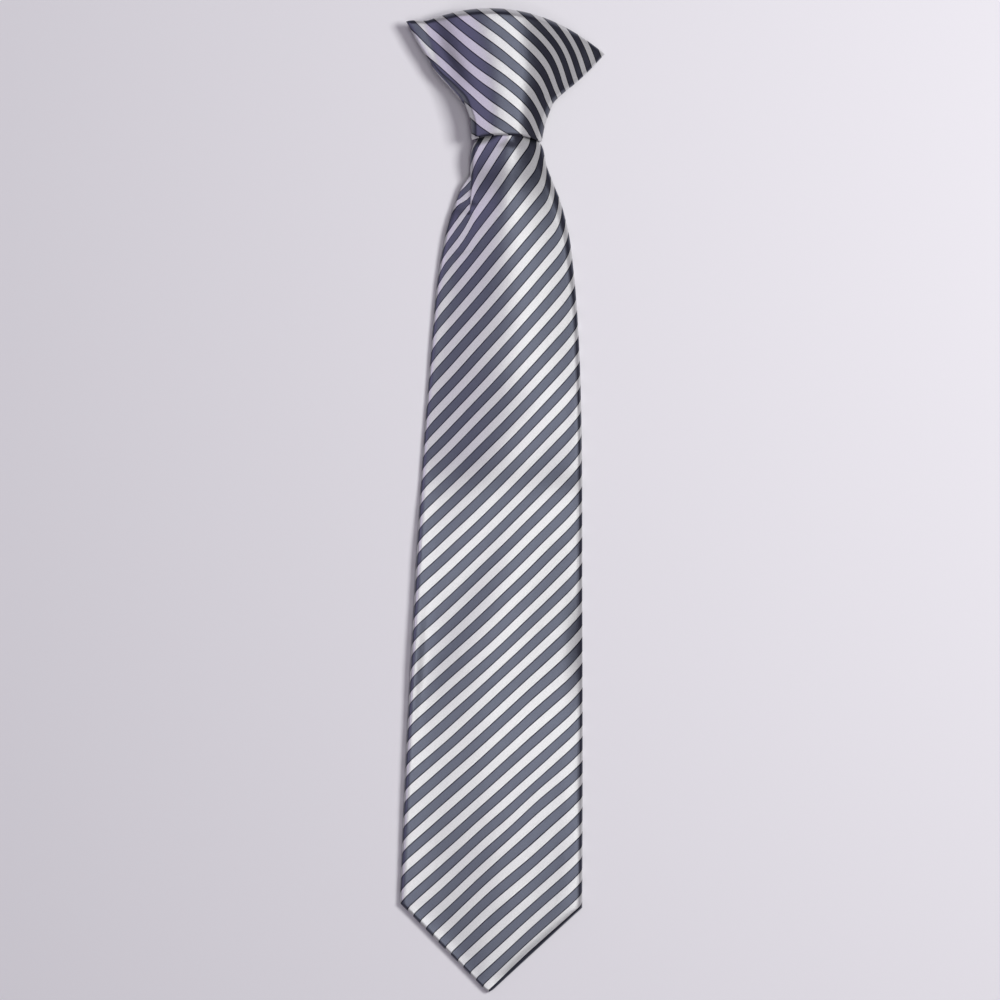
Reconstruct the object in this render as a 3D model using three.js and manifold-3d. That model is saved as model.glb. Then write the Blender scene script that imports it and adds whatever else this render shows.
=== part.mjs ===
import * as THREE from 'three';
import Module from 'manifold-3d';
import { mergeVertices } from 'three/addons/utils/BufferGeometryUtils.js';

// A clip-on necktie lying face up. X runs across it, Y up towards the knot, Z up from the surface.
// Sizes are in millimetres. Until the last lines, Y is 0 at the knot's mouth and X is 0 on the blade's axis.

// Blade: the folded cloth that hangs below the knot
const bladeLength = 399;
const bladeWidth = 85.2;
const pointHeight = 40.5;
const tipWidth = 1.6;
const bladeWall = 1.2;
const edgeGap = 0.8;
const bladeCrown = 1.2;
const throatCrown = 3.4;
const pleatWall = 2.2;
const neckLength = 22;
const swellLength = 3.2;

// Back of the blade: a centre seam that opens into a kite above the point, with hems beside it
const seamGap = 0.8;
const kiteLength = 78;
const hemWidth = 12;

// Knot: the cloth shell whose top corners run out as wings
const knotWidth = 92.4;
const knotHeight = 44.6;
const topRise = 14.2;
const mouthWidth = 31.3;
const mouthShift = 1;
const wingShift = 2.8;
const wingTilt = 5.76;
const knotWall = 1.8;
const wingThickness = 2.8;
const mouthRim = 6;
const mouthDepth = 10.9;
const knotDepth = 13.6;
const topFold = 5;
const leftWingRaise = 1.4;
const rightWingDrop = 1.4;
const flatBackWidth = 40;
const underfoldReach = 1.6;

// Clip: one bent strip behind the knot, open towards the blade
const clipWidth = 16;
const clipLength = 34;
const clipThickness = 1;
const clipSlot = 4.8;
const clipCorner = 4;
const clipAboveMouth = 12;

// Room between pieces that fit in or lie on one another
const fitClearance = 0.3;
// Least radius left on an edge inside a fold, and the most that a rounded side takes of a half width
const leastRoll = 0.4;
const mostRoll = 0.9;
// Half the gap that stays open between the layers at the very top of the knot's fold
const foldEnd = 0.1;

// Fineness of the facets: steps round a side and across a span, and the longest steps along a length
const clothFacets = { sideSteps: 3, spanSteps: 12 };
const knotFacets = { sideSteps: 3, spanSteps: 22 };
const hollowFacets = { sideSteps: 2, spanSteps: 8 };
const layerFacets = { sideSteps: 2, spanSteps: 3 };
const arcSteps = 8;
const neckStep = 12;
const swellStep = 0.8;
const throatStep = 4.6;
const easeStep = 8;
const bladeStep = 27;
const pointStep = 14;
const knotStep = 3.8;

// Where the throat's steep part ends, and where the blade lies flat, as shares of the way to the corners
const throatEnd = 0.167;
const flatFrom = 0.25;

const bladeEdge = 2 * bladeWall + edgeGap;
const cornerAt = bladeLength - pointHeight;
const knotBack = 2 * clipThickness + clipSlot + fitClearance;

// at: share of the way from the mouth to the corners; left and right: shares of half the blade's width
const bladeOutline = [
  { at: 0.0, left: 0.43, right: 0.31 },
  { at: 0.0225, left: 0.425, right: 0.371 },
  { at: 0.051, left: 0.425, right: 0.453 },
  { at: 0.08, left: 0.43, right: 0.557 },
  { at: 0.106, left: 0.53, right: 0.632 },
  { at: 0.134, left: 0.65, right: 0.688 },
  { at: 0.169, left: 0.735, right: 0.73 },
  { at: 0.202, left: 0.767, right: 0.765 },
  { at: 0.248, left: 0.793, right: 0.8 },
  { at: 0.308, left: 0.82, right: 0.836 },
  { at: 0.437, left: 0.876, right: 0.882 },
  { at: 0.572, left: 0.918, right: 0.912 },
  { at: 0.831, left: 0.977, right: 0.97 },
  { at: 1.0, left: 1.0, right: 1.0 },
];

// The pleat tucked under the left of the throat, in the same shares
const pleatOutline = [
  { at: 0.045, left: 0.36, right: 0.1 },
  { at: 0.0615, left: 0.43, right: 0.1 },
  { at: 0.08, left: 0.56, right: 0.1 },
  { at: 0.106, left: 0.636, right: 0.1 },
  { at: 0.134, left: 0.69, right: 0.1 },
  { at: 0.169, left: 0.72, right: 0.1 },
];

// at: as above; lift: share of the height of the knot's back; edge: times the flat blade's edge;
// crown: share of the throat's crown beyond the flat blade's; roll: times half the flat blade's edge
const bladeRelief = [
  { at: 0.0, lift: 0.92, edge: 1.9, crown: 1.0, roll: 3.0 },
  { at: 0.033, lift: 0.73, edge: 1.75, crown: 0.85, roll: 2.8 },
  { at: 0.078, lift: 0.37, edge: 1.4, crown: 0.6, roll: 2.3 },
  { at: 0.125, lift: 0.14, edge: 1.2, crown: 0.4, roll: 1.8 },
  { at: throatEnd, lift: 0.04, edge: 1.1, crown: 0.25, roll: 1.5 },
  { at: flatFrom, lift: 0.0, edge: 1.0, crown: 0.1, roll: 1.0 },
  { at: 0.42, lift: 0.0, edge: 1.0, crown: 0.0, roll: 1.0 },
  { at: 1.0, lift: 0.0, edge: 1.0, crown: 0.0, roll: 1.0 },
];

// at: share of the knot's height above its mouth; half: where the row's half width lies between
// half the mouth (0) and half the knot (1); spread: how far its middle and tilt have turned to the wings';
// deep: where its depth lies between the mouth's (0) and the knot's (1); rim: where its edge lies between
// a wing's (0) and the mouth's (1); bell: half width of the raised middle, and hollow: of the hollow
// inside the walls, as shares of the row's half width
const knotRows = [
  { at: 0.0, half: 0.0, spread: 0.0, deep: 0.0, rim: 1.0, bell: 1.25, hollow: 1.0 },
  { at: 0.125, half: 0.042, spread: 0.042, deep: 0.35, rim: 0.85, bell: 1.2, hollow: 1.0 },
  { at: 0.26, half: 0.116, spread: 0.116, deep: 0.62, rim: 0.65, bell: 1.1, hollow: 0.98 },
  { at: 0.365, half: 0.178, spread: 0.178, deep: 0.8, rim: 0.5, bell: 1.05, hollow: 0.95 },
  { at: 0.47, half: 0.314, spread: 0.314, deep: 0.93, rim: 0.35, bell: 1.0, hollow: 0.85 },
  { at: 0.625, half: 0.548, spread: 0.548, deep: 1.0, rim: 0.15, bell: 0.88, hollow: 0.68 },
  { at: 0.8, half: 0.774, spread: 0.774, deep: 0.97, rim: 0.0, bell: 0.78, hollow: 0.56 },
  { at: 1.0, half: 1.0, spread: 1.0, deep: 0.8, rim: 0.0, bell: 0.7, hollow: 0.48 },
];

// How the knot's top edge is rounded: distances from it, as shares of the fold's radius
const foldSteps = [0, 0.05, 0.15, 0.3, 0.5, 0.73, 1];

// The layer under the knot's left edge: at as in the knot's rows, reach a share of its full reach
const underfoldRows = [
  { at: 0.3, reach: 0 },
  { at: 0.36, reach: 0.7 },
  { at: 0.45, reach: 1 },
  { at: 0.55, reach: 1 },
  { at: 0.65, reach: 0.7 },
  { at: 0.72, reach: 0 },
];

const wasm = await Module();
wasm.setup();

// A smooth curve through one column of a table, which never swings past its rows
function curve(rows, column, at) {
  const last = rows.length - 1;
  const place = THREE.MathUtils.clamp(at, rows[0].at, rows[last].at);
  const found = rows.findIndex((row) => row.at > place);
  const i = (found < 0 ? last : found) - 1;
  const step = (j) => rows[j + 1].at - rows[j].at;
  const secant = (j) => (rows[j + 1][column] - rows[j][column]) / step(j);
  const slope = (j) => {
    if (j === 0) return secant(0);
    if (j === last) return secant(last - 1);
    const before = secant(j - 1);
    const after = secant(j);
    return before * after > 0 ? (2 * before * after) / (before + after) : 0;
  };
  const h = step(i);
  const t = (place - rows[i].at) / h;
  return (
    rows[i][column] * (1 + 2 * t) * (1 - t) ** 2 +
    rows[i + 1][column] * t * t * (3 - 2 * t) +
    h * slope(i) * t * (1 - t) ** 2 -
    h * slope(i + 1) * t * t * (1 - t)
  );
}

const mix = THREE.MathUtils.lerp;

// A flattened section: left and right are its half widths, back its height above the surface, edge its
// thickness at the sides, crown its extra thickness in the middle, over the half widths bellLeft and
// bellRight, roll the reach of its rounded sides, and foldAt the distance to a folded end
function sectionAt(section, x) {
  const half = x < 0 ? section.left : section.right;
  const bell = x < 0 ? section.bellLeft : section.bellRight;
  const inBell = Math.max(0, 1 - (x / bell) ** 2);
  const full = section.edge + section.crown * inBell ** 2;
  const pastFlat = Math.max(0, Math.abs(x) - (half - section.roll)) / section.roll;
  const sideShare = Math.sqrt(Math.max(0, 1 - pastFlat ** 2));
  const foldRadius = Math.min(full / 2, topFold);
  const pastFold = Math.max(0, 1 - section.foldAt / foldRadius);
  const foldShare = Math.sqrt(Math.max(0, 1 - pastFold ** 2));
  const middle = section.back + full / 2;
  const reach = (full / 2) * sideShare * foldShare;
  return { front: middle + reach, back: middle - reach };
}

// The same section moved in by a wall
function inset(section, wall, sideWall = wall) {
  return {
    ...section,
    left: section.left - sideWall,
    right: section.right - sideWall,
    back: section.back + wall,
    edge: section.edge - 2 * wall,
    roll: Math.max(section.roll - wall, leastRoll),
  };
}

// Points across a section, closer together round its two sides
function acrossSection(section, sideSteps, spanSteps) {
  const xs = [];
  for (let i = 0; i < sideSteps; i += 1) {
    xs.push(-section.left + section.roll * (1 - Math.cos((Math.PI / 2) * (i / sideSteps))));
  }
  for (let i = 0; i <= spanSteps; i += 1) {
    xs.push(mix(-section.left + section.roll, section.right - section.roll, i / spanSteps));
  }
  for (let i = sideSteps - 1; i >= 0; i -= 1) {
    xs.push(section.right - section.roll * (1 - Math.cos((Math.PI / 2) * (i / sideSteps))));
  }
  return xs;
}

// One ring of a loft: over the front from left to right, then back underneath
function ring(section, detail) {
  const xs = acrossSection(section, detail.sideSteps, detail.spanSteps);
  const front = xs.map((x) => section.place(x, sectionAt(section, x).front));
  const back = xs.map((x) => section.place(x, sectionAt(section, x).back));
  return [...front, ...back.slice(1, -1).reverse()];
}

// A closed solid through rings in order of rising Y, with flat ends
function loft(sections, detail) {
  const rings = sections.map((section) => ring(section, detail));
  const size = rings[0].length;
  const half = size / 2;
  const indices = [];
  const at = (i, k) => i * size + ((k + size) % size);
  for (let i = 0; i < rings.length - 1; i += 1) {
    for (let k = 0; k < size; k += 1) {
      indices.push(at(i, k), at(i, k + 1), at(i + 1, k + 1));
      indices.push(at(i, k), at(i + 1, k + 1), at(i + 1, k));
    }
  }
  const end = rings.length - 1;
  for (let k = 0; k < half; k += 1) {
    if (k > 0) indices.push(at(0, k), at(0, -k), at(0, -k - 1));
    if (k < half - 1) indices.push(at(0, k), at(0, -k - 1), at(0, k + 1));
    if (k > 0) indices.push(at(end, k), at(end, -k - 1), at(end, -k));
    if (k < half - 1) indices.push(at(end, k), at(end, k + 1), at(end, -k - 1));
  }
  const geometry = new THREE.BufferGeometry().setFromPoints(rings.flat());
  geometry.setIndex(indices);
  return solidOf(geometry);
}

function solidOf(geometry) {
  geometry.deleteAttribute('normal');
  geometry.deleteAttribute('uv');
  const welded = mergeVertices(geometry);
  return new wasm.Manifold(
    new wasm.Mesh({
      numProp: 3,
      vertProperties: new Float32Array(welded.attributes.position.array),
      triVerts: new Uint32Array(welded.index.array),
    }),
  );
}

function geometryOf(solid) {
  const { vertProperties, triVerts } = solid.getMesh();
  const geometry = new THREE.BufferGeometry();
  geometry.setAttribute('position', new THREE.BufferAttribute(vertProperties, 3));
  geometry.setIndex(new THREE.BufferAttribute(triVerts, 1));
  geometry.computeVertexNormals();
  return geometry;
}

// A flat shape drawn in Y and Z, as thick as the given width along X and centred there
function acrossPrism(shape, width) {
  const geometry = new THREE.ExtrudeGeometry(shape, { depth: width, bevelEnabled: false, curveSegments: arcSteps });
  const toX = new THREE.Matrix4().makeBasis(
    new THREE.Vector3(0, 1, 0),
    new THREE.Vector3(0, 0, 1),
    new THREE.Vector3(1, 0, 0),
  );
  geometry.translate(0, 0, -width / 2);
  geometry.applyMatrix4(toX);
  return solidOf(geometry);
}

// Numbers from start to end with a step no longer than the given one, ends included
function steps(start, end, longest) {
  const count = Math.max(1, Math.ceil(Math.abs(end - start) / longest));
  return Array.from({ length: count + 1 }, (_, i) => mix(start, end, i / count));
}

// The knot

const rowTilt = (row) => THREE.MathUtils.degToRad(wingTilt) * row.spread;

function wingLift(x) {
  const past = Math.max(0, Math.abs(x) - flatBackWidth / 2) / ((knotWidth - flatBackWidth) / 2);
  return (x < 0 ? leftWingRaise : -rightWingDrop) * past ** 2;
}

function knotRow(at) {
  const row = { at };
  for (const column of ['half', 'spread', 'deep', 'rim', 'bell', 'hollow']) {
    row[column] = curve(knotRows, column, at);
  }
  return row;
}

function knotSection(at) {
  const row = knotRow(at);
  const half = mix(mouthWidth / 2, knotWidth / 2, row.half);
  const edge = mix(wingThickness, mouthRim, row.rim);
  const tilt = rowTilt(row);
  const centre = -mix(mouthShift, wingShift, row.spread);
  return {
    left: half,
    right: half,
    bellLeft: half * row.bell,
    bellRight: half * row.bell,
    back: knotBack,
    edge,
    crown: mix(mouthDepth, knotDepth, row.deep) - edge,
    roll: edge / 2,
    foldAt: (1 - at) * knotHeight + foldEnd,
    hollow: row.hollow,
    place: (x, z) => {
      const rise = topRise * at ** 2 * (1 - Math.min(1, (x / half) ** 2));
      return new THREE.Vector3(
        centre + x * Math.cos(tilt) + rise * Math.sin(tilt),
        at * knotHeight - x * Math.sin(tilt) + rise * Math.cos(tilt),
        z + wingLift(x),
      );
    },
  };
}

// The knot's hollow at one row, carried on past the mouth where the row lies below it
function knotHollow(at) {
  const row = inset(knotSection(Math.max(0, at)), knotWall);
  const place = row.place;
  return {
    ...row,
    left: row.left * row.hollow,
    right: row.right * row.hollow,
    foldAt: Infinity,
    place: (x, z) => place(x, z).add(new THREE.Vector3(0, Math.min(0, at) * knotHeight, 0)),
  };
}

// The layer that shows along the knot's left edge, under the front
function underfoldSection({ at, reach }) {
  const row = knotSection(at);
  const edge = wingThickness - 2 * fitClearance;
  return {
    ...row,
    left: row.left + underfoldReach * reach,
    right: -row.left / 2,
    edge,
    crown: 0,
    roll: edge / 4,
    back: knotBack + fitClearance,
    foldAt: Infinity,
  };
}

function makeKnot() {
  const foldRows = foldSteps.map((down) => 1 - (down * topFold) / knotHeight).reverse();
  const bodyRows = steps(0, foldRows[0], knotStep / knotHeight);
  const rows = [...bodyRows.slice(0, -1), ...foldRows];
  const outer = loft(rows.map(knotSection), knotFacets);

  const hollowTop = 1 - (2 * knotWall) / knotHeight;
  const hollowRows = [-knotWall / knotHeight, ...steps(0, hollowTop, throatStep / knotHeight)];
  const hollow = loft(hollowRows.map(knotHollow), hollowFacets);

  const underfold = loft(underfoldRows.map(underfoldSection), layerFacets);
  return outer.add(underfold).subtract(hollow);
}

// The blade

const heightAt = (at) => knotBack * curve(bladeRelief, 'lift', at);

function bladeSection(down, outline = bladeOutline) {
  const at = down / cornerAt;
  const taper = down > cornerAt ? (bladeLength - down) / pointHeight : 1;
  const side = (column) => mix(tipWidth / 2, (bladeWidth / 2) * curve(outline, column, at), taper);
  const edge = bladeEdge * curve(bladeRelief, 'edge', at);
  const left = side('left');
  const right = side('right');
  const roll = (bladeEdge / 2) * curve(bladeRelief, 'roll', at);
  return {
    left,
    right,
    bellLeft: left,
    bellRight: right,
    back: heightAt(at),
    edge,
    crown: mix(bladeCrown, throatCrown, curve(bladeRelief, 'crown', at)) * taper,
    roll: Math.min(roll, left * mostRoll, right * mostRoll),
    foldAt: Infinity,
    place: (x, z) => new THREE.Vector3(x, -down, z),
  };
}

// The neck has the knot's inner shape at the mouth, less the clearance
function neckSection(down) {
  const mouth = inset(knotSection(0), knotWall + fitClearance);
  return { ...mouth, place: (x, z) => new THREE.Vector3(x - mouthShift, -down, z) };
}

function blend(from, to, share) {
  const mixed = { ...to };
  for (const size of ['left', 'right', 'bellLeft', 'bellRight', 'back', 'edge', 'crown', 'roll']) {
    mixed[size] = mix(from[size], to[size], share);
  }
  const shift = mouthShift * (1 - share);
  const place = to.place;
  mixed.place = (x, z) => place(x - shift, z);
  return mixed;
}

// Below the mouth the cloth swells from the neck's shape to the blade's
const swellShare = (down) => THREE.MathUtils.smoothstep(down, fitClearance, swellLength);

function clothSection(down) {
  if (down <= fitClearance) return neckSection(down);
  return blend(neckSection(down), bladeSection(down), swellShare(down));
}

function bladeHollow(down) {
  const outer = clothSection(down);
  return inset(outer, bladeWall, bladeWall + outer.roll * swellShare(down));
}

function pleatSection(down) {
  const section = bladeSection(down, pleatOutline);
  return {
    ...section,
    back: section.back + bladeWall / 4,
    edge: pleatWall,
    crown: 0,
    roll: pleatWall / 3,
  };
}

// The slot of the centre seam, from the throat down to the kite's top
function seamCut() {
  const top = swellLength;
  const bottom = cornerAt - kiteLength + hemWidth;
  const downs = steps(top, bottom, bladeStep);
  const below = downs.map((down) => new THREE.Vector2(-down, heightAt(down / cornerAt) - bladeWall));
  const above = downs.map(
    (down) => new THREE.Vector2(-down, heightAt(down / cornerAt) + bladeWall + edgeGap / 2),
  );
  return acrossPrism(new THREE.Shape([...above.reverse(), ...below]), seamGap);
}

// The kite-shaped opening between the back flaps and the hems of the point
function kiteCut() {
  const side = bladeWidth / 2 - hemWidth;
  const hemSlope = Math.hypot(pointHeight, bladeWidth / 2) / (bladeWidth / 2);
  const bottom = bladeLength - hemWidth * hemSlope;
  const shape = new THREE.Shape([
    new THREE.Vector2(0, -bottom),
    new THREE.Vector2(side, -(bottom - (side * pointHeight) / (bladeWidth / 2))),
    new THREE.Vector2(0, -(cornerAt - kiteLength)),
    new THREE.Vector2(-side, -(bottom - (side * pointHeight) / (bladeWidth / 2))),
  ]);
  const depth = 2 * bladeWall + edgeGap / 2;
  const geometry = new THREE.ExtrudeGeometry(shape, { depth, bevelEnabled: false });
  geometry.translate(0, 0, -bladeWall);
  return solidOf(geometry);
}

function makeBlade() {
  const throatBottom = cornerAt * throatEnd;
  const flatTop = cornerAt * flatFrom;
  const downs = [
    ...steps(-neckLength, fitClearance, neckStep),
    ...steps(fitClearance, swellLength, swellStep).slice(1),
    ...steps(swellLength, throatBottom, throatStep).slice(1),
    ...steps(throatBottom, flatTop, easeStep).slice(1),
    ...steps(flatTop, cornerAt, bladeStep).slice(1),
    ...steps(cornerAt, bladeLength, pointStep).slice(1),
  ].reverse();
  const outer = loft(downs.map(clothSection), clothFacets);

  const pleatTop = cornerAt * pleatOutline[0].at;
  const pleatBottom = cornerAt * pleatOutline[pleatOutline.length - 1].at;
  const pleat = loft(steps(pleatBottom, pleatTop, throatStep).map(pleatSection), layerFacets);

  const hollowDowns = [
    ...steps(-neckLength - bladeWall, fitClearance, neckStep),
    ...steps(fitClearance, swellLength, swellStep).slice(1),
    ...steps(swellLength, flatTop, easeStep).slice(1),
    ...steps(flatTop, cornerAt, bladeStep).slice(1),
    ...steps(cornerAt, bladeLength - hemWidth, pointStep).slice(1),
  ].reverse();
  const hollow = loft(hollowDowns.map(bladeHollow), hollowFacets);
  return outer.add(pleat).subtract(hollow).subtract(seamCut()).subtract(kiteCut());
}

// The clip

function makeClip() {
  const outerRadius = clipSlot / 2 + clipThickness;
  const innerRadius = clipSlot / 2;
  const bendAt = clipAboveMouth + clipLength - outerRadius;
  const strip = new THREE.Shape();
  strip.moveTo(clipAboveMouth, 0);
  strip.lineTo(bendAt, 0);
  strip.absarc(bendAt, outerRadius, outerRadius, -Math.PI / 2, Math.PI / 2, false);
  strip.lineTo(clipAboveMouth, 2 * outerRadius);
  strip.lineTo(clipAboveMouth, outerRadius + innerRadius);
  strip.lineTo(bendAt, outerRadius + innerRadius);
  strip.absarc(bendAt, outerRadius, innerRadius, Math.PI / 2, -Math.PI / 2, true);
  strip.lineTo(clipAboveMouth, clipThickness);
  strip.closePath();

  const half = clipWidth / 2;
  const top = clipAboveMouth + clipLength + clipThickness;
  const blank = new THREE.Shape();
  blank.moveTo(half, top);
  blank.lineTo(-half, top);
  blank.lineTo(-half, clipAboveMouth + clipCorner);
  blank.absarc(-half + clipCorner, clipAboveMouth + clipCorner, clipCorner, Math.PI, 1.5 * Math.PI, false);
  blank.lineTo(half - clipCorner, clipAboveMouth);
  blank.absarc(half - clipCorner, clipAboveMouth + clipCorner, clipCorner, 1.5 * Math.PI, 2 * Math.PI, false);
  blank.closePath();
  const outline = new THREE.ExtrudeGeometry(blank, {
    depth: 2 * outerRadius + 2 * clipThickness,
    bevelEnabled: false,
    curveSegments: arcSteps / 2,
  });
  outline.translate(0, 0, -clipThickness);
  return acrossPrism(strip, clipWidth + 2 * clipThickness).intersect(solidOf(outline));
}

const cloth = new THREE.MeshStandardMaterial({ color: 0x8f9098, roughness: 0.42, metalness: 0 });
const steel = new THREE.MeshStandardMaterial({ color: 0xc9cacc, roughness: 0.28, metalness: 1 });

const tie = new THREE.Group();
for (const [name, solid, material] of [
  ['blade', makeBlade(), cloth],
  ['knot', makeKnot(), cloth],
  ['clip', makeClip(), steel],
]) {
  const mesh = new THREE.Mesh(geometryOf(solid), material);
  mesh.name = name;
  tie.add(mesh);
}
tie.getObjectByName('clip').position.x = -mix(mouthShift, wingShift, knotRow(0.5).spread);

// The origin is the middle of the bounding box's underside
const box = new THREE.Box3().setFromObject(tie);
const middle = box.getCenter(new THREE.Vector3());
tie.position.set(-middle.x, -middle.y, -box.min.z);

export default tie;
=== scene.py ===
import math
import bmesh
import bpy
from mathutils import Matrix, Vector, noise


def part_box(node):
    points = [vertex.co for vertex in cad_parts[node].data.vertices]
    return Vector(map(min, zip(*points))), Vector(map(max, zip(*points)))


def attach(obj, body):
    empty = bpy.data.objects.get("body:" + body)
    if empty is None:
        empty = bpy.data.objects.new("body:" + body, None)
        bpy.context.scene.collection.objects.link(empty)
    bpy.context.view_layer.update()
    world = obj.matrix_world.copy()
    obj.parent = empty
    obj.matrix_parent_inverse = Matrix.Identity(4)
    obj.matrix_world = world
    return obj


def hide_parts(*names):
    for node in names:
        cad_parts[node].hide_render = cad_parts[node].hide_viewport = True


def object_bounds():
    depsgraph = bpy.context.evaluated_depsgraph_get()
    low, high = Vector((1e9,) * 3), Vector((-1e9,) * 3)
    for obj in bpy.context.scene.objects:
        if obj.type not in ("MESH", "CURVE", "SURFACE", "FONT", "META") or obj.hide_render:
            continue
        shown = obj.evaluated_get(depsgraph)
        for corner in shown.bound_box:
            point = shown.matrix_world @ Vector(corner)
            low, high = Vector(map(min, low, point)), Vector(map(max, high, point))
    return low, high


# A striped satin clip-on tie, lying face up. Metres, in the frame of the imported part:
# X across the tie, Y up towards its knot, Z up from the surface.

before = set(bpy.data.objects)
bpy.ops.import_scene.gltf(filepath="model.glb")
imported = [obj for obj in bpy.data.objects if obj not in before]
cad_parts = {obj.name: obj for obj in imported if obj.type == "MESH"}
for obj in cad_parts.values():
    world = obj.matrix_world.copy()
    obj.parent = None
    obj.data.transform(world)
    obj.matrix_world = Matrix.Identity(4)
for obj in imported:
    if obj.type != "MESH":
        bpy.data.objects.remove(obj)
cadLow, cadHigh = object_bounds()
bpy.ops.object.select_all(action="DESELECT")
print("frame:", ", ".join(sorted(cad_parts)))

# Camera, straight above, turned as far as the tie leans in the picture

camera = {
    "height": 2.4,
    "turn": 1.42,  # degrees
    "acrossPicture": 0.46667,  # metres of the surface that the picture's width takes in
    "aim": (0.00229, 0.00073, 0.003),
    "sensor": 36.0,  # millimetres
    "farthest": 20.0,
}


def makeCamera():
    data = bpy.data.cameras.new("photoCamera")
    data.sensor_width = camera["sensor"]
    data.lens = camera["sensor"] * (camera["height"] - camera["aim"][2]) / camera["acrossPicture"]
    data.clip_end = camera["farthest"]
    eye = bpy.data.objects.new("photoCamera", data)
    bpy.context.scene.collection.objects.link(eye)
    eye.location = (camera["aim"][0], camera["aim"][1], camera["height"])
    eye.rotation_euler = (0, 0, math.radians(camera["turn"]))
    bpy.context.scene.camera = eye


makeCamera()
print("camera made")

# Small helpers


def mix(low, high, share):
    return low + (high - low) * share


def clamp(value, low=0.0, high=1.0):
    return min(high, max(low, value))


def ease(low, high, value):
    share = clamp((value - low) / (high - low))
    return share * share * (3 - 2 * share)


# A table as a list of rows, each with its values under the columns' names
def table(names, *rows):
    return [dict(zip(names, row)) for row in rows]


# A smooth curve through one column of a table, which never swings past its rows
def curve(rows, column, at):
    last = len(rows) - 1
    place = clamp(at, rows[0]["at"], rows[last]["at"])
    i = 0
    while i < last - 1 and rows[i + 1]["at"] <= place:
        i += 1

    def secant(j):
        return (rows[j + 1][column] - rows[j][column]) / (rows[j + 1]["at"] - rows[j]["at"])

    def slope(j):
        if j == 0:
            return secant(0)
        if j == last:
            return secant(last - 1)
        before, after = secant(j - 1), secant(j)
        return 2 * before * after / (before + after) if before * after > 0 else 0

    step = rows[i + 1]["at"] - rows[i]["at"]
    t = (place - rows[i]["at"]) / step
    return (
        rows[i][column] * (1 + 2 * t) * (1 - t) ** 2
        + rows[i + 1][column] * t * t * (3 - 2 * t)
        + step * slope(i) * t * (1 - t) ** 2
        - step * slope(i + 1) * t * t * (1 - t)
    )


# Adds a grid of cloth to a mesh. Each row is a list of (point, stripe count, distance along the stripe)
def addGrid(mesh, rows):
    uv = mesh.loops.layers.uv.get("UVMap") or mesh.loops.layers.uv.new("UVMap")
    made = [[mesh.verts.new(point) for point, count, along in row] for row in rows]
    for i in range(len(rows) - 1):
        for j in range(len(rows[i]) - 1):
            corners = [(i, j), (i, j + 1), (i + 1, j + 1), (i + 1, j)]
            face = mesh.faces.new([made[a][b] for a, b in corners])
            face.smooth = True
            for loop, (a, b) in zip(face.loops, corners):
                loop[uv].uv = rows[a][b][1:]


sewing = {
    "joinWithin": 2e-6,
    "tightFolds": 0.5,  # the wall gets thinner where a fold is tighter than this share of it
}


# Joins grids where they meet and gives the cloth its thickness, inwards
def makeCloth(name, grids, wall, material):
    mesh = bmesh.new()
    for rows in grids:
        addGrid(mesh, rows)
    bmesh.ops.remove_doubles(mesh, verts=mesh.verts, dist=sewing["joinWithin"])
    data = bpy.data.meshes.new(name)
    mesh.to_mesh(data)
    mesh.free()
    cloth = bpy.data.objects.new(name, data)
    bpy.context.scene.collection.objects.link(cloth)
    data.materials.append(material)
    bpy.context.view_layer.objects.active = cloth
    cloth.select_set(True)
    thicken = cloth.modifiers.new("wall", "SOLIDIFY")
    thicken.thickness = wall
    thicken.offset = -1
    thicken.use_quality_normals = True
    thicken.thickness_clamp = sewing["tightFolds"]
    bpy.ops.object.modifier_apply(modifier="wall")
    cloth.select_set(False)
    # the wall of a tight fold may not come out below the cloth or past its point
    for vertex in cloth.data.vertices:
        vertex.co.y = max(vertex.co.y, cadLow.y)
        vertex.co.z = max(vertex.co.z, cadLow.z)
    return cloth


# Area of the cloth when it is laid flat: its width along each row, times the way to the next
def flatArea(rows):
    total = 0
    for lower, upper in zip(rows, rows[1:]):
        width = sum((b[0] - a[0]).length for a, b in zip(lower, lower[1:]))
        middle = len(lower) // 2
        total += width * (upper[middle][0] - lower[middle][0]).length
    return total


# Materials


def newGroup(name, inputs, outputs):
    group = bpy.data.node_groups.new(name, "ShaderNodeTree")
    for label, kind, value in inputs:
        socket = group.interface.new_socket(label, in_out="INPUT", socket_type=kind)
        socket.default_value = value
    for label, kind in outputs:
        group.interface.new_socket(label, in_out="OUTPUT", socket_type=kind)
    return group


def addNode(tree, kind, **values):
    node = tree.nodes.new(kind)
    for name, value in values.items():
        setattr(node, name, value)
    return node


def mathNode(tree, operation, *inputs):
    node = addNode(tree, "ShaderNodeMath", operation=operation)
    for socket, value in zip(node.inputs, inputs):
        if isinstance(value, (int, float)):
            socket.default_value = value
        else:
            tree.links.new(value, socket)
    return node.outputs[0]


def mixColour(tree, share, low, high, blend="MIX"):
    node = addNode(tree, "ShaderNodeMix", data_type="RGBA", blend_type=blend)
    for socket, value in ((node.inputs[0], share), (node.inputs[6], low), (node.inputs[7], high)):
        if hasattr(value, "links"):
            tree.links.new(value, socket)
        else:
            socket.default_value = value
    return node.outputs[2]


# A mask that rises from 0 to 1 between two values
def rampBetween(tree, value, low, high):
    node = addNode(tree, "ShaderNodeMapRange", interpolation_type="SMOOTHSTEP", clamp=True)
    tree.links.new(value, node.inputs["Value"])
    node.inputs["From Min"].default_value = low
    node.inputs["From Max"].default_value = high
    return node.outputs["Result"]


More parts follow.
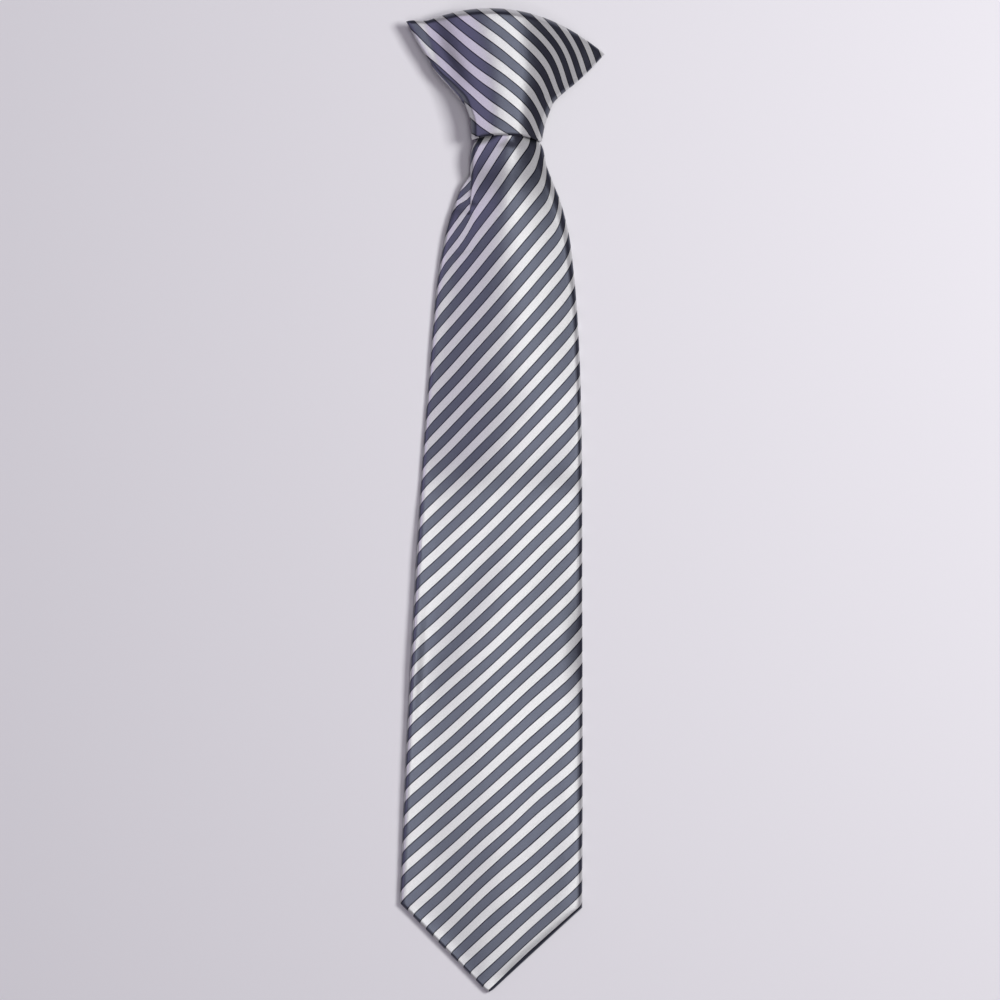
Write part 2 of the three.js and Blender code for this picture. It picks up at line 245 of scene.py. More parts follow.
satin = {
    "light": (0.53, 0.535, 0.54, 1),
    "dark": (0.086, 0.094, 0.122, 1),
    "line": (0.008, 0.008, 0.014, 1),
    "lightShare": 0.46,  # of one repeat, from where the dark stripe ends
    "lineShare": 0.055,
    "lightMetal": 0.44,
    "darkMetal": 0.87,
    "edgeBlur": 0.014,
    "ribPitch": 0.00062,
    # painted shade: how much darker the colour is made in the ribs' hollows
    "ribPaintedShade": 0.10,
    "threadShade": 0.30,
    "threadsAcross": 16.0,  # in one repeat of the stripes
    "threadsAlong": 0.8,  # to one rib
    "threadDetail": 2.0,
    "ribHeight": 0.00003,
    "heights": {"light": 0.6, "ribs": 0.7, "threads": 0.5},  # shares of ribHeight
    "bumpStrength": 0.5,
    "roughness": 0.32,
    "lightRoughness": -0.02,  # more than that on the light stripes
    "specular": 0.6,
    "sheen": 0.05,
    "sheenRoughness": 0.4,
}


# Light and dark stripes with a thin line between them, and ribs across them
def makeStripeGroup():
    group = newGroup(
        "satinStripes",
        [
            ("Count", "NodeSocketFloat", 0.0),
            ("Along", "NodeSocketFloat", 0.0),
            ("Light", "NodeSocketColor", satin["light"]),
            ("Dark", "NodeSocketColor", satin["dark"]),
            ("Line", "NodeSocketColor", satin["line"]),
            ("Rib Pitch", "NodeSocketFloat", satin["ribPitch"]),
        ],
        [
            ("Color", "NodeSocketColor"),
            ("Light Mask", "NodeSocketFloat"),
            ("Line Mask", "NodeSocketFloat"),
            ("Height", "NodeSocketFloat"),
        ],
    )
    start = addNode(group, "NodeGroupInput").outputs
    end = addNode(group, "NodeGroupOutput").inputs
    place = mathNode(group, "FRACT", start["Count"])
    blur = satin["edgeBlur"]
    share = satin["lightShare"]
    line = satin["lineShare"]
    lightOn = rampBetween(group, place, 0, blur)
    lightOff = rampBetween(group, place, share - blur, share)
    lightMask = mathNode(group, "SUBTRACT", lightOn, lightOff)
    darkOn = rampBetween(group, place, share + line - blur, share + line)
    darkOff = rampBetween(group, place, 1 - line, 1 - line + blur)
    darkMask = mathNode(group, "SUBTRACT", darkOn, darkOff)
    # ribs across the stripes, each a little unlike the next; the colour gets painted shade in their
    # hollows
    turns = mathNode(group, "DIVIDE", start["Along"], start["Rib Pitch"])
    ribs = mathNode(group, "SINE", mathNode(group, "MULTIPLY", turns, 2 * math.pi))
    ribs = mathNode(group, "MULTIPLY_ADD", ribs, 0.5, 0.5)
    threads = addNode(group, "ShaderNodeTexNoise", noise_dimensions="2D")
    threads.inputs["Scale"].default_value = 1.0
    threads.inputs["Detail"].default_value = satin["threadDetail"]
    spot = addNode(group, "ShaderNodeCombineXYZ")
    acrossThreads = mathNode(group, "MULTIPLY", start["Count"], satin["threadsAcross"])
    alongThreads = mathNode(group, "MULTIPLY", turns, satin["threadsAlong"])
    group.links.new(acrossThreads, spot.inputs[0])
    group.links.new(alongThreads, spot.inputs[1])
    group.links.new(spot.outputs[0], threads.inputs["Vector"])
    threadShade, ribPaintedShade = satin["threadShade"], satin["ribPaintedShade"]
    uneven = mathNode(group, "MULTIPLY_ADD", threads.outputs[0], threadShade, 1 - threadShade / 2)
    # painted shade: the colour is darker in the ribs' hollows, in step with their bumps; the threads
    # then give it an uneven tone
    shade = mathNode(group, "MULTIPLY_ADD", ribs, ribPaintedShade, 1 - ribPaintedShade / 2)
    shade = mathNode(group, "MULTIPLY", shade, uneven)
    colour = mixColour(group, darkMask, start["Line"], start["Dark"])
    colour = mixColour(group, lightMask, colour, start["Light"])
    grey = addNode(group, "ShaderNodeCombineColor")
    for socket in grey.inputs[:3]:
        group.links.new(shade, socket)
    colour = mixColour(group, 1.0, colour, grey.outputs[0], "MULTIPLY")
    group.links.new(colour, end["Color"])
    group.links.new(lightMask, end["Light Mask"])
    lineMask = mathNode(group, "SUBTRACT", mathNode(group, "SUBTRACT", 1.0, lightMask), darkMask)
    group.links.new(lineMask, end["Line Mask"])
    heights = satin["heights"]
    raised = mathNode(group, "MULTIPLY", ribs, heights["ribs"])
    raised = mathNode(group, "MULTIPLY_ADD", lightMask, heights["light"], raised)
    raised = mathNode(group, "MULTIPLY_ADD", threads.outputs[0], heights["threads"], raised)
    group.links.new(raised, end["Height"])
    return group


def newMaterial(name):
    material = bpy.data.materials.new(name)
    material.use_nodes = True
    tree = material.node_tree
    shader = tree.nodes["Principled BSDF"]
    return material, tree, shader


def addBump(tree, shader, height, strength, distance):
    bump = addNode(tree, "ShaderNodeBump")
    bump.inputs["Strength"].default_value = strength
    bump.inputs["Distance"].default_value = distance
    tree.links.new(height, bump.inputs["Height"])
    tree.links.new(bump.outputs[0], shader.inputs["Normal"])


def makeSatin():
    material, tree, shader = newMaterial("stripedSatin")
    weave = addNode(tree, "ShaderNodeGroup", node_tree=makeStripeGroup())
    chart = addNode(tree, "ShaderNodeUVMap", uv_map="UVMap")
    apart = addNode(tree, "ShaderNodeSeparateXYZ")
    tree.links.new(chart.outputs[0], apart.inputs[0])
    tree.links.new(apart.outputs[0], weave.inputs["Count"])
    tree.links.new(apart.outputs[1], weave.inputs["Along"])
    tree.links.new(weave.outputs["Color"], shader.inputs["Base Color"])
    mask = weave.outputs["Light Mask"]
    rough = mathNode(tree, "MULTIPLY_ADD", mask, satin["lightRoughness"], satin["roughness"])
    tree.links.new(rough, shader.inputs["Roughness"])
    darkMetal = satin["darkMetal"]
    metal = mathNode(tree, "MULTIPLY_ADD", mask, satin["lightMetal"] - darkMetal, darkMetal)
    metal = mathNode(tree, "MULTIPLY_ADD", weave.outputs["Line Mask"], 1 - darkMetal, metal)
    tree.links.new(metal, shader.inputs["Metallic"])
    shader.inputs["Specular IOR Level"].default_value = satin["specular"]
    shader.inputs["Sheen Weight"].default_value = satin["sheen"]
    shader.inputs["Sheen Roughness"].default_value = satin["sheenRoughness"]
    addBump(tree, shader, weave.outputs["Height"], satin["bumpStrength"], satin["ribHeight"])
    return material


stripedSatin = makeSatin()
print("satin made")

# Blade: one cloth folded round to a seam at the back, with a pleat at the left of the throat

blade = {
    "length": 0.399,
    "width": 0.0852,
    "pointHeight": 0.0405,
    "tipWidth": 0.0016,
    "tipRound": 0.0016,
    "wall": 0.0009,
    "edge": 0.0032,  # thickness of the folded edge where the blade lies flat
    "crown": 0.0012,
    "throatCrown": 0.0027,
    "neckLength": 0.022,
    "neckBack": 0.0092,
    "neckEdge": 0.0018,
    "neckCrown": 0.0049,
    "neckRoll": 0.0009,
    "swell": 0.006,  # how far below the mouth the neck's shape has turned into the blade's
    "knotBack": 0.0071,
    "overlap": 0.008,  # of the two flaps at the back seam
    "seamLift": 0.00115,  # of the upper flap where it lies on the lower
    "seamLiftFrom": (-0.012, -0.002),  # how it sets in across the blade
    "seamLiftPast": 0.004,  # it ends where the flap ends so far left of the axis,
    "seamLiftFade": 0.0015,  # over this width
    "kiteLength": 0.078,
    "hemWidth": 0.012,
    "seamDraw": 0.00015,  # half the gap of the mitred seam at the point
    "mostRoll": 0.9,  # of a half width that a rounded side may take
    "leanSoftness": 0.0005,
}
bladeLow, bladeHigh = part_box("blade")
axisX = (bladeLow.x + bladeHigh.x) / 2
mouthY = bladeLow.y + blade["length"]
cornerAt = blade["length"] - blade["pointHeight"]
halfWidth = blade["width"] / 2

# at: metres below the knot's mouth; left and right: shares of half the blade's width
bladeOutline = table(
    ("at", "left", "right"),
    (-0.022, 0.3415, 0.295),
    (0.0, 0.3415, 0.303),
    (0.0054, 0.41, 0.366),
    (0.0124, 0.43, 0.404),
    (0.0226, 0.50, 0.502),
    (0.0286, 0.56, 0.563),
    (0.038, 0.636, 0.632),
    (0.048, 0.69, 0.688),
    (0.0606, 0.735, 0.73),
    (0.0724, 0.767, 0.765),
    (0.0889, 0.793, 0.8),
    (0.1104, 0.82, 0.836),
    (0.1567, 0.876, 0.882),
    (0.2051, 0.918, 0.912),
    (0.2979, 0.977, 0.97),
    (0.3585, 1.0, 1.0),
)

# The pleat. outer: the under layer's edge; crease: the upper layer's folded edge, in the same shares;
# depth: share of how far the fold reaches in; stack: 1 where the layers lie fully on one another
pleatRows = table(
    ("at", "outer", "crease", "depth", "stack"),
    (-0.014, 0.3415, 0.32, 0.0, 0.0),
    (-0.006, 0.33, 0.3415, 0.5, 1.0),
    (0.0, 0.33, 0.3415, 1.0, 1.0),
    (0.0054, 0.40, 0.41, 1.0, 1.0),
    (0.0124, 0.42, 0.43, 1.0, 1.0),
    (0.0174, 0.418, 0.4245, 1.0, 1.0),
    (0.0194, 0.446, 0.42, 1.0, 1.0),
    (0.0236, 0.512, 0.417, 0.9, 1.0),
    (0.0275, 0.55, 0.416, 0.6, 1.0),
    (0.0325, 0.592, 0.418, 0.15, 0.9),
    (0.038, 0.634, 0.426, 0.0, 0.5),
    (0.044, 0.67, 0.44, 0.0, 0.18),
    (0.052, 0.704, 0.46, 0.0, 0.0),
    (0.056, 0.719, 0.46, 0.0, 0.0),
)
pleat = {
    "depth": 0.0026,
    "foldRadius": 0.0008,
    "gap": 0.00025,
    "layer": 0.0016,  # thickness of the under layer's rolled edge
    "slant": 0.17,  # rise of the under layer from its edge inwards
    "slantReach": 0.006,
    "mouthShare": 0.32,  # how flat the fold is pressed inside the knot's mouth
    "runIn": 0.004,  # length over which it starts and ends
    "tuckedFrom": 0.4,  # share of its depth from which the fold is fully rounded
    "riseWidth": 1.6,  # of the upper layer, times the roll, and how much less when tucked
    "riseTucked": 0.6,
}
# Where the pleat runs out, the cloth it takes up is gathered instead. place: share of half the blade's
# width; extra: metres of cloth taken up; reach: metres to either side
gatherRows = table(
    ("at", "place", "extra", "reach"),
    (0.027, 0.42, 0.0, 0.002),
    (0.035, 0.43, 0.0025, 0.0025),
    (0.045, 0.45, 0.0018, 0.004),
    (0.060, 0.48, 0.0, 0.006),
)

# lift: share of the height of the knot's back; edge: times the flat blade's edge; crown: share of the
# throat's crown beyond the flat blade's; roll: times half the flat blade's edge
bladeRelief = table(
    ("at", "lift", "edge", "crown", "roll"),
    (0.0, 0.92, 1.9, 1.0, 3.0),
    (0.0118, 0.73, 1.75, 0.85, 2.8),
    (0.028, 0.37, 1.4, 0.6, 2.3),
    (0.0448, 0.14, 1.2, 0.4, 1.8),
    (0.0599, 0.04, 1.1, 0.25, 1.5),
    (0.0896, 0.0, 1.0, 0.1, 1.0),
    (0.1506, 0.0, 1.0, 0.0, 1.0),
    (0.3585, 0.0, 1.0, 0.0, 1.0),
)

# count: stripes from the point up, where they cross the blade's axis; slope: their rise to the right;
# bend: how their rise changes with the distance from the axis, per metre
bladeStripes = table(
    ("at", "count", "slope", "bend"),
    (-0.0146, 32.0, 1.70, 0.0),
    (0.0010, 31.0, 1.60, 0.0),
    (0.0168, 30.0, 1.47, 0.3),
    (0.0312, 29.0, 1.34, 0.6),
    (0.0577, 27.0, 1.24, 0.9),
    (0.0959, 24.0, 1.165, 1.1),
    (0.1440, 20.0, 1.065, 1.3),
    (0.2026, 15.0, 1.01, 1.1),
    (0.2376, 12.0, 0.985, 0.8),
    (0.2600, 10.0, 0.96, 0.9),
    (0.2833, 8.0, 0.965, 0.7),
    (0.3063, 6.0, 0.935, 0.5),
    (0.3285, 4.0, 0.912, -0.6),
    (0.3509, 2.0, 0.965, -0.4),
    (0.3747, 0.0, 0.955, -0.4),
    (0.3981, -2.0, 0.955, -0.4),
)
# How far the cloth is drawn round its right side, which steepens the stripes there
sidePull = table(
    ("at", "pull"),
    (0.0, 0.006),
    (0.030, 0.006),
    (0.040, 0.0045),
    (0.048, 0.003),
    (0.070, 0.0015),
    (0.120, 0.001),
    (0.399, 0.001),
)
# Waviness of the stripes to either side, in metres up the blade, by where they cross its axis
stripeWave = table(
    ("at", "left", "right"),
    (0.175, 0.0, 0.0),
    (0.205, 0.0003, 0.0),
    (0.225, -0.0004, -0.0003),
    (0.236, -0.0007, 0.0),
    (0.248, -0.0001, 0.0003),
    (0.259, 0.0005, 0.0005),
    (0.270, 0.0, 0.0009),
    (0.282, -0.0005, 0.0013),
    (0.295, -0.0002, 0.0011),
    (0.306, 0.0002, 0.0005),
    (0.318, 0.0006, -0.0006),
    (0.329, 0.0008, -0.0013),
    (0.340, 0.0006, -0.0003),
    (0.352, 0.0005, 0.0013),
    (0.364, 0.0003, 0.0009),
    (0.375, 0.0, 0.0002),
    (0.386, 0.0, -0.0004),
    (0.397, 0.0, -0.0012),
)
stripeRun = {
    "endPitch": 0.0117,
    "waveRise": 0.023,  # over what width the waviness sets in
    "waveFull": {"left": 0.024, "upper": 0.036, "lower": 0.021},  # and how far out it is full
    "lowerFrom": (0.300, 0.338),  # where the upper part's width gives way to the lower's
    "uneven": 0.0003,
    "unevenWaves": 45,  # to the metre
    "unevenLayer": 11.3,  # where the noise is cut
    "meanSlope": 1.05,
    "pullReach": 0.008,
    "leftPull": 0.001,
    "leftReach": 0.004,
    "gatherFade": (2, 6),  # times the gather's reach, past it
    "bendReach": 0.045,  # the bend is not carried further round the back than this
    "countShift": 0.03,
    "tries": 8,  # rounds in which a place's stripe is sought
}

# How the face of the blade leans, in degrees to the right, at its left, middle and right
bladeLean = table(
    ("at", "left", "middle", "right"),
    (0.020, 0.0, 0.0, 0.0),
    (0.054, -5.5, -1.6, 1.2),
    (0.077, -2.0, -2.0, 1.8),
    (0.100, -1.6, -1.8, 2.2),
    (0.124, -1.6, -3.8, -1.8),
    (0.147, -1.2, -3.8, -1.8),
    (0.175, 3.4, -0.6, 0.6),
    (0.194, 3.0, 0.6, 2.0),
    (0.217, 1.6, 1.4, 1.6),
    (0.241, 2.8, 1.6, 1.2),
    (0.264, 4.0, 1.2, -1.0),
    (0.300, 4.0, 0.3, -5.0),
    (0.345, 3.2, -1.0, -6.0),
    (0.390, 2.0, -0.8, -6.0),
)
# How far the face falls away to the blade's right edge
edgeFall = table(
    ("at", "fall"),
    (0.10, 0.0002),
    (0.20, 0.0002),
    (0.235, 0.0010),
    (0.27, 0.0004),
    (0.30, 0.0010),
    (0.345, 0.0007),
    (0.365, 0.0011),
    (0.395, 0.0008),
)
edgeFallWidth = 0.010

# A long shallow hollow that runs down to the left. Places are metres across the axis and below the mouth
hollow = {
    "start": (0.040, 0.105),
    "end": (-0.034, 0.245),
    "depth": 0.0006,
    "width": 0.014,
    "fadeIn": (0.0, 0.06),
    "fadeOut": (0.15, 0.24),
}
# The unevenness of pressed cloth: waves to the metre, where the noise is cut, and the height
unevenness = table(
    ("across", "down", "layer", "height"),
    (28, 17, 3.1, 0.00022),
    (60, 45, 7.7, 0.00007),
)
# Both fade out towards the sides, the mouth and the point
waveFade = {"side": 0.006, "mouth": (0.004, 0.02), "point": 0.03}

# Steps along one row of cloth, and metres between the rows
flapSteps = 14
rollSteps = 9
runSteps = 4
creaseSteps = 4
riseSteps = 8
frontSteps = 58
rowSteps = {"neck": 0.004, "throat": 0.0011, "body": 0.0024, "point": 0.0018, "tip": 0.0003}
throatEnd = 0.072


def bladeShape(down):
    swell = ease(0, blade["swell"], down)
    taper = clamp((blade["length"] - down) / blade["pointHeight"])
    left = mix(blade["tipWidth"] / 2, halfWidth * curve(bladeOutline, "left", down), taper)
    right = mix(blade["tipWidth"] / 2, halfWidth * curve(bladeOutline, "right", down), taper)
    toTip = clamp(1 - (blade["length"] - down) / blade["tipRound"])
    tip = math.sqrt(max(0, 1 - toTip**2))
    inPleat = pleatRows[0]["at"] < down < pleatRows[-1]["at"]
    stack = curve(pleatRows, "stack", down) if inPleat else 0
    outer = halfWidth * curve(pleatRows, "outer", down) if inPleat else left
    crease = halfWidth * curve(pleatRows, "crease", down) if inPleat else left
    runIn = pleat["runIn"]
    blendIn = ease(0, runIn, down - pleatRows[0]["at"]) * ease(0, runIn, pleatRows[-1]["at"] - down)
    outer = mix(left, outer, blendIn) if inPleat else left
    crown = mix(blade["crown"], blade["throatCrown"], curve(bladeRelief, "crown", down)) * taper
    return {
        "outer": outer * tip,
        "crease": crease * tip,
        "bellLeft": mix(left, crease, stack) * tip,
        "right": right * tip,
        "back": mix(blade["neckBack"], blade["knotBack"] * curve(bladeRelief, "lift", down), swell),
        "edge": mix(blade["neckEdge"], blade["edge"] * curve(bladeRelief, "edge", down), swell),
        "crown": mix(blade["neckCrown"], crown, swell),
        "roll": mix(blade["neckRoll"], blade["edge"] / 2 * curve(bladeRelief, "roll", down), swell),
        "lean": [math.radians(curve(bladeLean, side, down)) for side in ("left", "middle", "right")],
        "fall": curve(edgeFall, "fall", down),
        "stack": stack,
        "inPleat": blendIn if inPleat else 0,
        "depth": pleat["depth"] * (curve(pleatRows, "depth", down) if inPleat else 0),
        "tip": tip,
    }


# Height that the lean of the face gives at x, measured from about its lowest side
def leanHeight(shape, x):
    left, middle, right = shape["lean"]

    def slopeSum(place):
        side, half = (left, -shape["bellLeft"]) if place < 0 else (right, shape["right"])
        return -(middle * place + (side - middle) * place**2 / (2 * half + 1e-9))

    height = slopeSum(x)
    soft = blade["leanSoftness"]
    for side in (slopeSum(-shape["bellLeft"]), slopeSum(shape["right"])):
        height += (math.hypot(side, soft) - side - soft) / 2
    return height


# Thickness of the blade at x
def bladeFull(shape, x):
    half = shape["bellLeft"] if x < 0 else shape["right"]
    inBell = max(0, 1 - (x / max(half, 1e-5)) ** 2)
    full = shape["edge"] + shape["crown"] * inBell**2 + leanHeight(shape, x)
    near = clamp(1 - (shape["right"] - x) / edgeFallWidth)
    return full - shape["fall"] * near**2 * clamp(shape["right"] / edgeFallWidth)


# The hollow and the unevenness of the front
def bladeWave(x, down):
    start, end = Vector(hollow["start"]), Vector(hollow["end"])
    line = (end - start).normalized()
    off = (Vector((x, down)) - start).dot(Vector((-line.y, line.x)))
    along = (Vector((x, down)) - start).dot(line)
    window = ease(*hollow["fadeIn"], along) * (1 - ease(*hollow["fadeOut"], along))
    dip = -hollow["depth"] * math.exp(-((off / hollow["width"]) ** 2)) * window
    uneven = 0
    for row in unevenness:
        place = Vector((x * row["across"], down * row["down"], row["layer"]))
        uneven += noise.noise(place) * row["height"]
    return dip + uneven


# Where the two flaps at the back end: past each other along the seam, then apart to the kite's hems
def flapEnds(down, shape):
    kiteTop = cornerAt - blade["kiteLength"]
    side = halfWidth - blade["hemWidth"]
    hemSlope = blade["pointHeight"] / halfWidth
    slanting = math.hypot(blade["pointHeight"], halfWidth)
    bottom = blade["length"] - blade["hemWidth"] * slanting / halfWidth
    sideAt = bottom - side * hemSlope
    seam = blade["overlap"] / 2
    if down < kiteTop:
        return seam, -seam
    if down < sideAt:
        share = (down - kiteTop) / (sideAt - kiteTop)
        return mix(seam, -side, share), mix(-seam, side, share)
    if down < bottom:
        return -(bottom - down) / hemSlope, (bottom - down) / hemSlope
    draw = blade["seamDraw"]
    return -min(draw, shape["outer"] / 2), min(draw, shape["right"] / 2)


# Lift of the left flap where it lies over the right one
def flapLift(x, end):
    onOther = ease(0, blade["seamLiftFade"], end + blade["seamLiftPast"])
    return blade["seamLift"] * ease(*blade["seamLiftFrom"], x) * onOther


# The fold of the pleat: the under layer, the way back over it, round the crease and up to the front
def pleatFold(shape, cornerLeft, layerTop, tuck, rise):
    crease = -shape["crease"]
    radius = pleat["foldRadius"] * tuck
    gap = pleat["gap"] * tuck
    inner = crease + shape["depth"] * tuck + radius
    slant = pleat["slant"] * clamp(crease - cornerLeft, 0, pleat["slantReach"])
    face = layerTop + slant + gap
    fold = []
    for i in range(runSteps + 1):
        fold.append((mix(cornerLeft, inner, i / runSteps), layerTop + slant * i / runSteps))
    fold.append((inner + gap / 2, face - gap / 2))
    for i in range(runSteps + 1):
        fold.append((mix(inner, crease + radius, i / runSteps), face))
    for i in range(1, creaseSteps + 1):
        turn = math.pi / 2 * i / creaseSteps
        fold.append((crease + radius * (1 - math.sin(turn)), face + radius * (1 - math.cos(turn))))
    for i in range(1, riseSteps):
        turn = math.pi / 2 * i / riseSteps
        x = crease + rise * mix(i / riseSteps, 1 - math.cos(turn), tuck)
        top = shape["back"] + bladeFull(shape, x)
        risen = mix(ease(0, riseSteps, i), math.sin(turn), tuck)
        fold.append((x, mix(face + radius, top, risen)))
    return fold


# The front with its slight waves, which fade out towards the sides and the ends
def frontPoints(shape, down, frontLeft, frontRight):
    points = []
    endFade = ease(*waveFade["mouth"], down), ease(0, waveFade["point"], blade["length"] - down)
    for i in range(frontSteps + 1):
        x = mix(frontLeft, frontRight, i / frontSteps)
        z = shape["back"] + bladeFull(shape, x)
        sideFade = ease(0, waveFade["side"], x - frontLeft) * ease(0, waveFade["side"], frontRight - x)
        points.append((x, z + bladeWave(x, down) * sideFade * endFade[0] * endFade[1]))
    return points


# One row of the blade's cloth, from the left flap's end round the front to the right flap's end,
# and how far across the cloth each of its points lies from the axis
def bladePath(down):
    shape = bladeShape(down)
    back, stack = shape["back"], shape["stack"]
    endLeft, endRight = flapEnds(down, shape)
    rollLeft = min(shape["roll"], shape["outer"] * blade["mostRoll"])
    rollRight = min(shape["roll"], shape["right"] * blade["mostRoll"])
    press = mix(pleat["mouthShare"], 1, ease(0, blade["swell"], down))
    rollOuter = mix(rollLeft, pleat["layer"] * press / 2, stack)
    cornerLeft = -(shape["outer"] - rollOuter)
    thick = mix(bladeFull(shape, cornerLeft), pleat["layer"] * press, stack)
    tuck = press * ease(0, pleat["tuckedFrom"], shape["depth"] / pleat["depth"])
    rise = shape["roll"] * (pleat["riseWidth"] - pleat["riseTucked"] * tuck)

    points = []
    for i in range(flapSteps):
        x = mix(min(endLeft, shape["outer"]), cornerLeft, i / flapSteps)
        points.append((x, back + flapLift(x, endLeft)))
    for i in range(rollSteps):
        turn = math.pi * i / rollSteps
        x = cornerLeft - rollOuter * math.sin(turn)
        points.append((x, back + thick / 2 * (1 - math.cos(turn))))
    startFold = len(points)
    for x, z in pleatFold(shape, cornerLeft, back + thick, tuck, rise):
        x = mix(cornerLeft, x, shape["inPleat"])
        points.append((x, mix(back + bladeFull(shape, x), z, stack)))
    startFront = len(points)
    frontLeft = mix(cornerLeft, -shape["crease"] + rise, shape["inPleat"])
    frontRight = shape["right"] - rollRight
    points += frontPoints(shape, down, frontLeft, frontRight)
    endFront = len(points) - 1
    for i in range(1, rollSteps + 1):
        turn = math.pi * i / rollSteps
        x = frontRight + rollRight * math.sin(turn)
        full = bladeFull(shape, x)
        points.append((x, back + full / 2 + full / 2 * math.cos(turn)))
    for i in range(1, flapSteps + 1):
        points.append((mix(frontRight, max(endRight, -shape["right"]), i / flapSteps), back))

    # the rounded tip draws the heights towards the middle
    middle = back + bladeFull(shape, -shape["bellLeft"]) / 2
    points = [(x, middle + (z - middle) * shape["tip"]) for x, z in points]
    across = [x for x, z in points]
    for j in range(startFront - 1, -1, -1):
        step = math.dist(points[j], points[j + 1])
        if j >= startFold:
            step = mix(abs(points[j][0] - points[j + 1][0]), step, stack)
        across[j] = across[j + 1] - step
    for j in range(endFront + 1, len(points)):
        across[j] = across[j - 1] + math.dist(points[j], points[j - 1])
    return points, across, shape


# How many stripes up the blade a place of its cloth lies
def bladeCount(across, down, shape):
    if across > 0:
        reach = stripeRun["pullReach"]
        near = clamp((reach - (shape["right"] - across)) / reach)
        across += curve(sidePull, "pull", down) * near**2
    else:
        reach = stripeRun["leftReach"]
        near = clamp((reach - (shape["bellLeft"] + across)) / reach)
        across -= stripeRun["leftPull"] * near**2
        if gatherRows[0]["at"] < down < gatherRows[-1]["at"]:
            place, extra, reach = [curve(gatherRows, name, down) for name in ("place", "extra", "reach")]
            past = -across - place * halfWidth
            fadeFrom, fadeTo = [share * reach for share in stripeRun["gatherFade"]]
            across -= extra * ease(-reach, reach, past) * (1 - ease(fadeFrom, fadeTo, past))
    bent = min(abs(across), stripeRun["bendReach"]) ** 2
    centre = down
    for repeat in range(stripeRun["tries"]):
        bend = curve(bladeStripes, "bend", centre) * bent
        centre = down + across * curve(bladeStripes, "slope", centre) + bend
    full = stripeRun["waveFull"]
    if across < 0:
        side, reach = "left", full["left"]
    else:
        side, reach = "right", mix(full["upper"], full["lower"], ease(*stripeRun["lowerFrom"], centre))
    centre -= curve(stripeWave, side, centre) * ease(reach - stripeRun["waveRise"], reach, abs(across))
    waves = stripeRun["unevenWaves"]
    place = Vector((across * waves, down * waves, stripeRun["unevenLayer"]))
    centre += stripeRun["uneven"] * noise.noise(place)
    first, last = bladeStripes[0]["at"], bladeStripes[-1]["at"]
    past = max(0, first - centre) - max(0, centre - last)
    return curve(bladeStripes, "count", centre) + past / stripeRun["endPitch"] + stripeRun["countShift"]


# And how far along that stripe, in metres
def stripeAlong(across, down):
    return (across - down * stripeRun["meanSlope"]) / math.hypot(1, stripeRun["meanSlope"])


# The hems of the point are folded over its slanting edges, so their stripes are mirrored there
def mirrorAtPoint(x, down):
    edge = Vector((-halfWidth, blade["pointHeight"])).normalized()
    offset = Vector((abs(x), down)) - Vector((halfWidth, cornerAt))
    mirrored = 2 * offset.dot(edge) * edge - offset + Vector((halfWidth, cornerAt))
    return math.copysign(mirrored.x, x), mirrored.y


# Even steps from the start up to just before the end
def spaced(start, end, step):
    count = max(1, math.ceil((end - start) / step))
    return [mix(start, end, i / count) for i in range(count)]


# The blade in grids: its front, two flaps, and the two hems of the point under it
def bladeGrids():
    tipStart = blade["length"] - 2 * blade["tipRound"]
    downs = spaced(-blade["neckLength"], 0, rowSteps["neck"])
    downs += spaced(0, throatEnd, rowSteps["throat"])
    downs += spaced(throatEnd, cornerAt, rowSteps["body"])
    downs += spaced(cornerAt, tipStart, rowSteps["point"])
    downs += spaced(tipStart, blade["length"], rowSteps["tip"])
    downs.append(blade["length"])
    rows, front = [], []
    flaps, hems = ([], []), ([], [])
    for down in reversed(downs):
        points, across, shape = bladePath(down)
        row = []
        for (x, z), side in zip(points, across):
            place = Vector((axisX + x, mouthY - down, z))
            row.append((place, bladeCount(side, down, shape), stripeAlong(side, down)))
        rows.append(row)
        parts = (row[: flapSteps + 1], row[-flapSteps - 1 :])
        front.append(row[flapSteps : len(row) - flapSteps])
        if down <= cornerAt:
            for flap, part in zip(flaps, parts):
                flap.append(part)
        if down >= cornerAt:
            for hem, part in zip(hems, parts):
                mirrored = []
                for place, count, along in part:
                    x, far = mirrorAtPoint(place.x - axisX, down)
                    mirrored.append((place, bladeCount(x, far, shape), stripeAlong(x, far)))
                hem.append(mirrored)
    return [front, *flaps, *hems], rows


def makeBlade():
    grids, rows = bladeGrids()
    cloth = makeCloth("bladeCloth", grids, blade["wall"], stripedSatin)
    area = flatArea(rows)
    width = 2 * blade["width"] + blade["overlap"]
    length = blade["length"] + blade["neckLength"] + blade["hemWidth"]
    print(f"blade: {len(cloth.data.polygons)} faces, cut area {area:.4f} m2 of {width * length:.4f}")
    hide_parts("blade")
    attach(cloth, "root")
    area = min(area, width * length)


makeBlade()

# Knot: a hollow of cloth folded in at its mouth and over at its top, with its corners drawn out as wings

